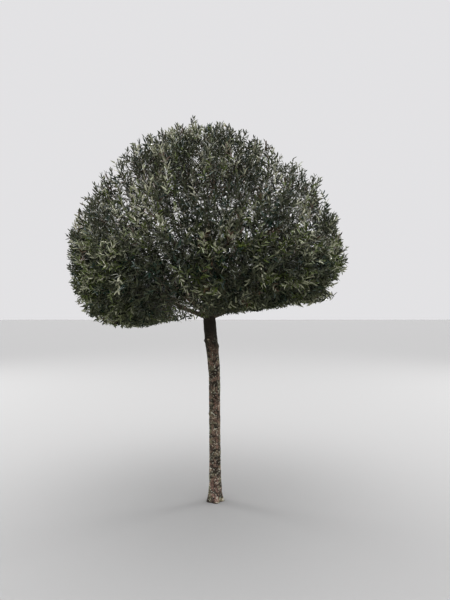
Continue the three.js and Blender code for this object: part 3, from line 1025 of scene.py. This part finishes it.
# %% Stem
STEM_RINGS, STEM_SIDES = 380, 42
CLOSER_AT_FOOT = 0.15  # how much closer together the rings are at the foot
KNOTS = [  # height, side in degrees (180 is left, 270 the near side), radius, how far it stands out
    (1.378, 196, 0.019, 0.011),
    (1.326, 350, 0.033, 0.012),
    (1.452, 268, 0.020, 0.009),
    (1.115, 240, 0.017, 0.008),
    (0.985, 285, 0.015, 0.006),
    (0.905, 305, 0.020, 0.009),
    (0.855, 262, 0.014, 0.006),
    (0.740, 205, 0.016, 0.007),
    (0.655, 300, 0.013, 0.006),
    (0.560, 280, 0.019, 0.008),
    (0.345, 330, 0.016, 0.007),
    (0.210, 235, 0.022, 0.010),
    (1.020, 70, 0.020, 0.009),
    (0.620, 120, 0.018, 0.008),
]
CUTS = [(1.388, 248, 0.011, 0.006), (0.432, 292, 0.009, 0.004), (1.180, 95, 0.012, 0.006)]
KNOT_SQUASH = 1.3  # how much narrower a knot is up the stem than round it
INSIDE_LEADER = [(1.752, 0.030), (1.768, 0.018)]  # the stem's end, hidden in the leader's foot
FLAT_FOOT = 0.003


def knots_at(p, centre, knots):
    """How far knots raise the bark at a point, and how deep in a knot it lies, from 0 to 1."""
    raised, mark = 0.0, 0.0
    for z, side, radius, height in knots:
        if abs(p.z - z) < 3 * radius:
            turn = math.radians(side)
            across = Vector((p.x - centre[0], p.y - centre[1])).normalized()
            arc = across.angle(Vector((math.cos(turn), math.sin(turn)))) * STEM_RADIUS
            near = math.exp(-((math.hypot(arc, (p.z - z) * KNOT_SQUASH) / radius) ** 2))
            raised += height * near
            mark = max(mark, near**3)
    return raised, mark


def shape_stem(mesh):
    """Moves the round stem's sides to where the bark is, and marks the knots and the cuts."""
    knots, cuts = np.zeros(len(mesh.vertices)), np.zeros(len(mesh.vertices))
    for vertex in mesh.vertices:
        p = vertex.co
        centre = stem_centre(p.z)
        away = Vector((p.x - centre[0], p.y - centre[1], 0))
        if p.z < STEM_TOP + 0.004 and away.length > 0.5 * STEM_RADIUS:
            raised, knots[vertex.index] = knots_at(p, centre, KNOTS)
            stub, cuts[vertex.index] = knots_at(p, centre, CUTS)
            angle = math.atan2(away.y, away.x)
            away *= (stem_radius(max(0.0, p.z), angle) + raised + stub) / away.length
            vertex.co = Vector((centre[0], centre[1], p.z)) + away
    carry(mesh, "knot", knots)
    carry(mesh, "cut", cuts)
    mesh.update()


def add_stem():
    shares = np.arange(STEM_RINGS + 1) / STEM_RINGS
    heights = STEM_TOP * (CLOSER_AT_FOOT * shares**2 + (1 - CLOSER_AT_FOOT) * shares)
    centres = [stem_centre(z) for z in heights]
    radii = [STEM_RADIUS] * len(centres)
    for z, radius in INSIDE_LEADER:
        centres.append(stem_centre(STEM_TOP) + UP * (z - STEM_TOP))
        radii.append(radius)
    stem = limb_mesh("stem", centres, radii, STEM_SIDES)
    shape_stem(stem.data)
    relieve(stem, depth=0.0030, size=0.017, lumps=0.0030)
    for vertex in stem.data.vertices:
        if vertex.co.z < FLAT_FOOT:
            vertex.co.z = 0.0
    material_of(stem, stem_bark)
    return belongs(stem, "bark", "trunk")


stem = add_stem()
print("stem:", len(stem.data.polygons), "faces")

# %% [markdown]
# Where a bough leaves the stem the wood swells into a collar. So each bough starts inside the limb
# that carries it and is over a third thicker there. Its far end is hidden in the first twig of its mass.

# %% Boughs
COLLAR, COLLAR_LENGTH = 0.38, 0.09
BOUGH_STEPS, BOUGH_SIDES = 60, 14


def add_bough(mass):
    centres = bough_centres(mass, leader_tip, BOUGH_STEPS)
    way = np.concatenate([[0], np.cumsum(np.linalg.norm(np.diff(centres, axis=0), axis=1))])
    crest = mass["ring"] == "crest"
    swell = 0.0 if crest else COLLAR
    radii = [
        bough_radius(mass, i / BOUGH_STEPS) * (1 + swell * math.exp(-((along / COLLAR_LENGTH) ** 2)))
        for i, along in enumerate(way)
    ]
    name = "leader" if crest else f"bough_of_{mass['name']}"
    bough = limb_mesh(name, centres, radii, BOUGH_SIDES)
    relieve(bough, depth=0.0012, size=0.011, lumps=0.0016)
    material_of(bough, bough_bark)
    return belongs(bough, "bark", "bough_leader" if crest else f"bough_{mass['name']}")


boughs = [add_bough(mass) for mass in masses]
print("boughs:", len(boughs), "with", sum(len(b.data.polygons) for b in boughs), "faces")

# %% [markdown]
# ## Twig meshes
#
# There are over five thousand twigs, far too many to model one by one, so they are written as arrays:
# a ring of a few vertices at each node of the skeleton, and triangles between rings. Thin twigs have
# three sides and thick ones six. All twigs of a mass are one piece.

# %% Tubes from arrays
THICK_TWIG = 0.004
INTO_BOUGH = 0.02


def ring_frames(points):
    """Two directions across the line at each point, that turn with it and don't twist."""
    ahead = unit(np.gradient(points, axis=0))
    side = np.array([1.0, 0, 0]) if abs(ahead[0][0]) < 0.9 else np.array([0, 1.0, 0])
    sides = []
    for forward in ahead:
        side = unit(side - forward * side.dot(forward))
        sides.append(side)
    sides = np.array(sides)
    return sides, np.cross(ahead, sides)


def tube(points, radii, sides):
    """Vertices and triangles of a closed tube along points."""
    across, back = ring_frames(points)
    turns = (np.arange(sides) * 2 * np.pi / sides)[:, None]
    spokes = np.cos(turns) * across[:, None] + np.sin(turns) * back[:, None]
    rings = points[:, None] + radii[:, None, None] * spokes
    low = np.arange(len(points) - 1)[:, None] * sides
    i, j = np.arange(sides), (np.arange(sides) + 1) % sides
    walls = np.stack([low + i, low + j, low + sides + j, low + sides + i], -1).reshape(-1, 4)
    walls = walls[:, [0, 1, 2, 0, 2, 3]].reshape(-1, 3)
    fan = np.arange(1, sides - 1)
    last = (len(points) - 1) * sides
    foot = np.stack([0 * fan, fan + 1, fan], -1)
    head = np.stack([0 * fan + last, last + fan, last + fan + 1], -1)
    return rings.reshape(-1, 3), np.concatenate([walls, foot, head])


def joined(parts):
    """Many (vertices, triangles) as one."""
    offsets = np.cumsum([0] + [len(vertices) for vertices, _ in parts[:-1]])
    vertices = np.concatenate([vertices for vertices, _ in parts])
    faces = np.concatenate([faces + offset for (_, faces), offset in zip(parts, offsets)])
    return vertices, faces


def add_twigs(mass):
    twigs, radii = mass["twigs"], mass["radii"]
    parts = []
    for chain in twigs.chains:
        points = np.array([twigs.at[i] for i in chain])
        size = radii[chain].copy()
        if chain[0] == 0:
            points[0] -= twigs.heading[0] * INTO_BOUGH
        else:
            size[0] = size[1]
        parts.append(tube(points, size, 6 if size.max() > THICK_TWIG else 3))
    vertices, faces = joined(parts)
    piece = mesh_piece(f"twigs_of_{mass['name']}", vertices, faces, [twig_bark])
    piece.data.polygons.foreach_set("use_smooth", np.ones(len(faces), dtype=bool))
    return belongs(piece, "bark")


twig_pieces = [add_twigs(mass) for mass in masses]
print("twigs:", sum(len(piece.data.polygons) for piece in twig_pieces), "triangles")

# %% [markdown]
# ## Leaf colours
#
# An olive leaf is dark grey-green and slightly glossy above, and silvery with fine dull scales below.
# That pair of colours makes the shimmer of the tree. Leaves of one shoot are of one age, so the tints
# are dealt out shoot by shoot: one of seven greens above and one of two silvers below. Neighbouring
# shoots get much the same tint, which makes soft patches, and deeper inside the crown the dark tints
# come up more often, which is painted shade for the inside of the crown. Each tint is a plain base
# colour. A fine noise only changes how rough the surface is.

# %% Leaf materials
UPPER_TINTS = {  # shares of the shoots at the bottom and at the top of the crown, and base colour
    "deep_green": (0.24, 0.34, (0.006, 0.013, 0.005, 1)),
    "blue_green": (0.18, 0.11, (0.010, 0.034, 0.024, 1)),
    "grey_green": (0.22, 0.24, (0.044, 0.050, 0.029, 1)),
    "olive_green": (0.30, 0.15, (0.084, 0.110, 0.024, 1)),
    "brown_green": (0.05, 0.11, (0.080, 0.047, 0.029, 1)),
    "pale_green": (0.09, 0.06, (0.22, 0.24, 0.135, 1)),
    "yellowing": (0.02, 0.02, (0.22, 0.155, 0.05, 1)),
}
UNDER_TINTS = {
    "grey_silver": (0.62, 0.67, (0.074, 0.082, 0.052, 1)),
    "silver": (0.38, 0.33, (0.43, 0.43, 0.34, 1)),
}
GLOSSY, DULL = (0.22, 0.08, 0.80), (0.72, 0.10, 0.35)  # roughness, its spread, and the share of gloss
ROUGHNESS_NOISE = 90.0
TINTS_FROM, TINTS_TO = 1.7, 2.9
PATCH_SPAN, PATCH_EDGE, PATCH_SHARE = 0.20, 0.42, 0.5
LEAF_SHADE_FROM, LEAF_SHADE_TO = 0.94, 0.50  # crown levels between which the leaves get darker inwards, as painted shade
LUCK_IN_DEEPEST_SHADE = 0.10  # what the leaves in the deepest painted shade keep of a drawn chance


def leaf_material(name, tone, roughness, spread, gloss):
    """A plain base colour, with a roughness that wanders a little about its middle."""
    material, wire, shader = plain_material(name, tone, roughness)
    shader["Specular IOR Level"].default_value = gloss
    here = wire.add("ShaderNodeTexCoord", "Object")
    wander = wire.add("ShaderNodeTexNoise", "Fac", Vector=here, Scale=ROUGHNESS_NOISE)
    limits = dict(To_Min=roughness - spread, To_Max=roughness + spread)
    wire.put(wire.add("ShaderNodeMapRange", "Result", Value=wander, **limits), shader["Roughness"])
    return material


leaf_materials = [
    leaf_material(f"leaf_{name}", tone, *finish)
    for tints, finish in ((UPPER_TINTS, GLOSSY), (UNDER_TINTS, DULL))
    for name, (_, _, tone) in tints.items()
]


def fortune(tip, chance):
    """A chance that goes with the neighbours' and falls inside the crown, as painted shade: low chances
    are dark.
    """
    patch = smooth_step(-PATCH_EDGE, PATCH_EDGE, noise.noise(Vector(tip) / PATCH_SPAN))
    # Painted shade: the deeper a shoot stands in the crown, the darker its tints.
    weight = smooth_step(LEAF_SHADE_TO, LEAF_SHADE_FROM, float(crown_level(tip)))
    luck = PATCH_SHARE * patch + (1 - PATCH_SHARE) * chance
    return min(0.999, luck * (LUCK_IN_DEEPEST_SHADE + (1 - LUCK_IN_DEEPEST_SHADE) * weight))


def deal(tints, z, chance):
    """The number of the tint that a shoot at this height gets for a drawn chance."""
    high = smooth_step(TINTS_FROM, TINTS_TO, z)
    shares = np.array([low + (top - low) * high for low, top, _ in tints.values()])
    return min(int(np.searchsorted(np.cumsum(shares) / shares.sum(), chance)), len(tints) - 1)


print("leaf materials:", len(leaf_materials))

# %% [markdown]
# ## One leaf
#
# A leaf is a closed little solid of ten triangles. Six points give its narrow outline. Above, it is
# folded along the line from stalk to tip, which is the channel of the midrib; below, one more point
# gives the keel. The upper faces take a green, the lower ones a silver. One flat quad would be cheaper,
# but it would have the same colour on both sides, and would vanish when it is seen edge on.

# %% Leaf shape
OUTLINE = [(0.0, 0.0), (0.27, 0.90), (0.66, 0.84), (1.0, 0.0), (0.66, -0.84), (0.27, -0.90)]
RIB = 0.45
FOLD = 0.30  # how deep the channel is, as a share of half the width
CURL = 0.10  # how far the tip bends down, as a share of the length
RIB_THICKNESS = 0.0009

ALONG = np.array([x for x, _ in OUTLINE] + [RIB])
ACROSS = np.array([y for _, y in OUTLINE] + [0.0])
RAISED = np.array([float(y != 0) for _, y in OUTLINE] + [0.0])
BENT = np.array([x**2 for x, _ in OUTLINE] + [RIB])
KEEL = np.array([0.0] * 6 + [1.0])
UPPER_FACES = [(3, 2, 1), (3, 1, 0), (0, 5, 4), (0, 4, 3)]
UNDER_FACES = [(i, (i + 1) % 6, 6) for i in range(6)]
LEAF_FACES = np.array(UPPER_FACES + UNDER_FACES)
print("a leaf has", len(LEAF_FACES), "triangles")

# %% [markdown]
# ## Leaves on a shoot
#
# Olive leaves stand in pairs, each pair turned a quarter against the last, and are smaller near the
# tip. They lean forward, more so at the tip, and twist on their stalks until the green side looks up.
# All that is worked out for a whole shoot at once.

# %% Leafy shoots
LEAFY_LENGTH = (0.13, 0.22)
PAIR_GAP = (0.0170, 0.0240)
FIRST_PAIR = 0.002  # metres back from the tip
LEAF_LENGTH = (0.040, 0.064)
LEAF_WIDTH = (0.0116, 0.0154)
TIP_LENGTH, TIP_WIDTH = 0.72, 0.85  # how small the youngest leaves are, beside full-grown ones
WAY_OF_FACES = (0.35, 0.95)  # how far the green sides look up, and how far each looks its own way
LEAN_OUT = (0.45, 1.20)  # radians between leaf and shoot, at the tip and at the foot of the shoot
LEAN_SPREAD, TURN_SPREAD = 0.24, 0.22
THICKEST_LEAFY = 0.0030
NEARLY_UPRIGHT = 0.2  # a twig with a heading less level than this


def shoot_line(mass, chain):
    """Points back from a shoot's tip, as far as leaves may stand."""
    twigs, radii = mass["twigs"], mass["radii"]
    i = chain[-1]
    points = [twigs.at[i]]
    while twigs.parent[i] > 0 and radii[i] < THICKEST_LEAFY:
        i = twigs.parent[i]
        points.append(twigs.at[i])
    return np.array(points)


def walk_back(points, stations):
    """The places at these distances back from the tip, and the way the twig heads there."""
    steps = np.linalg.norm(np.diff(points, axis=0), axis=1)
    way = np.concatenate([[0], np.cumsum(steps)])
    stations = stations[stations < way[-1]]
    at = np.stack([np.interp(stations, way, points[:, k]) for k in range(3)], 1)
    piece = np.clip(np.searchsorted(way, stations, side="right") - 1, 0, len(steps) - 1)
    heading = -np.diff(points, axis=0)[piece] / steps[piece][:, None]
    return at, heading, stations


def leaves_on(line, generator):
    """Root, direction, face, length and width of each leaf of a shoot."""
    length = generator.uniform(*LEAFY_LENGTH)
    gap = generator.uniform(*PAIR_GAP)
    stations = FIRST_PAIR + gap * np.arange(int(length / gap))
    at, heading, stations = walk_back(line, stations)
    pairs = len(stations)
    if pairs == 0:
        return None
    share = np.clip(stations / length, 0, 1)
    level = np.cross(heading, UP)
    level = np.where(np.linalg.norm(level, axis=1, keepdims=True) < NEARLY_UPRIGHT, [[1.0, 0, 0]], level)
    level = unit(level - heading * (level * heading).sum(1, keepdims=True))
    high = np.cross(level, heading)
    turn = generator.uniform(0, np.pi) + (np.arange(pairs) % 2) * np.pi / 2
    turn = np.concatenate([turn, turn + np.pi]) + generator.normal(0, TURN_SPREAD, 2 * pairs)
    at, heading, level, high = (np.tile(values, (2, 1)) for values in (at, heading, level, high))
    share = np.tile(share, 2)
    lean = LEAN_OUT[0] + (LEAN_OUT[1] - LEAN_OUT[0]) * share + generator.normal(0, LEAN_SPREAD, 2 * pairs)
    outward = np.cos(turn)[:, None] * level + np.sin(turn)[:, None] * high
    direction = unit(np.cos(lean)[:, None] * heading + np.sin(lean)[:, None] * outward)
    up, astray = WAY_OF_FACES
    face = heading + up * UP + generator.normal(0, astray, (2 * pairs, 3))
    grown = np.minimum(1, 3 * share)
    size = generator.uniform(*LEAF_LENGTH, 2 * pairs) * (TIP_LENGTH + (1 - TIP_LENGTH) * grown)
    width = generator.uniform(*LEAF_WIDTH, 2 * pairs) * (TIP_WIDTH + (1 - TIP_WIDTH) * grown)
    return at, direction, face, size, width


def blades(at, direction, face, size, width):
    """The vertices of many leaves, one row of seven for each."""
    normal = unit(face - direction * (face * direction).sum(1, keepdims=True))
    side = np.cross(normal, direction)
    half = width[:, None] / 2
    along = ALONG * size[:, None]
    out = RAISED * FOLD * half - CURL * BENT * size[:, None] - KEEL * RIB_THICKNESS
    return (
        at[:, None]
        + along[..., None] * direction[:, None]
        + (ACROSS * half)[..., None] * side[:, None]
        + out[..., None] * normal[:, None]
    )


# %% [markdown]
# A leaf whose tip would leave the crown's outline is shortened by the shears or was never there, so it
# is dropped when it reaches out too far. Only the shoots that the shears have missed may stand out.
# Where sky shows through, some leaves are dropped as well, by the rule that thinned out the shoots.

# %% Foliage
OVER_OUTLINE, OVER_STRAYS = 1.035, 1.04
LEAF_CLEAR = 0.004


def add_leaves(mass):
    generator = np.random.default_rng(SEED * 4000 + mass["index"])
    vertices, materials = [], []
    clipped = [(chain, OVER_OUTLINE) for chain in mass["shoots"]]
    loose = [(chain, OVER_STRAYS * STRAY_REACH) for chain in mass["strays"]]
    for chain, reach in clipped + loose:
        found = leaves_on(shoot_line(mass, chain), generator)
        tip = mass["twigs"].at[chain[-1]]
        upper = deal(UPPER_TINTS, tip[2], fortune(tip, generator.random()))
        under = len(UPPER_TINTS) + deal(UNDER_TINTS, tip[2], fortune(tip, generator.random()))
        if found is None:
            continue
        at, direction, _, size, _ = found
        tips = at + direction * size[:, None]
        kept = ~beyond_share(tips, reach) & clear_of_limbs(tips, LEAF_CLEAR)
        kept &= generator.random(len(tips)) < cover(tips)
        vertices.append(blades(*(values[kept] for values in found)))
        leaf = [upper] * len(UPPER_FACES) + [under] * len(UNDER_FACES)
        materials.append(np.tile(leaf, (kept.sum(), 1)))
    vertices = np.concatenate(vertices)
    starts = (np.arange(len(vertices)) * len(ALONG))[:, None, None]
    faces = (starts + LEAF_FACES).reshape(-1, 3)
    materials = np.concatenate(materials).ravel()
    name = f"leaves_of_{mass['name']}"
    piece = mesh_piece(name, vertices.reshape(-1, 3), faces, leaf_materials, materials)
    return belongs(piece, "leaf", f"foliage_{mass['name']}"), len(vertices)


leaf_pieces = [add_leaves(mass) for mass in masses]
print("leaves:", sum(count for _, count in leaf_pieces))
print("leaf triangles:", sum(len(piece.data.polygons) for piece, _ in leaf_pieces))

# %% [markdown]
# ## Finish
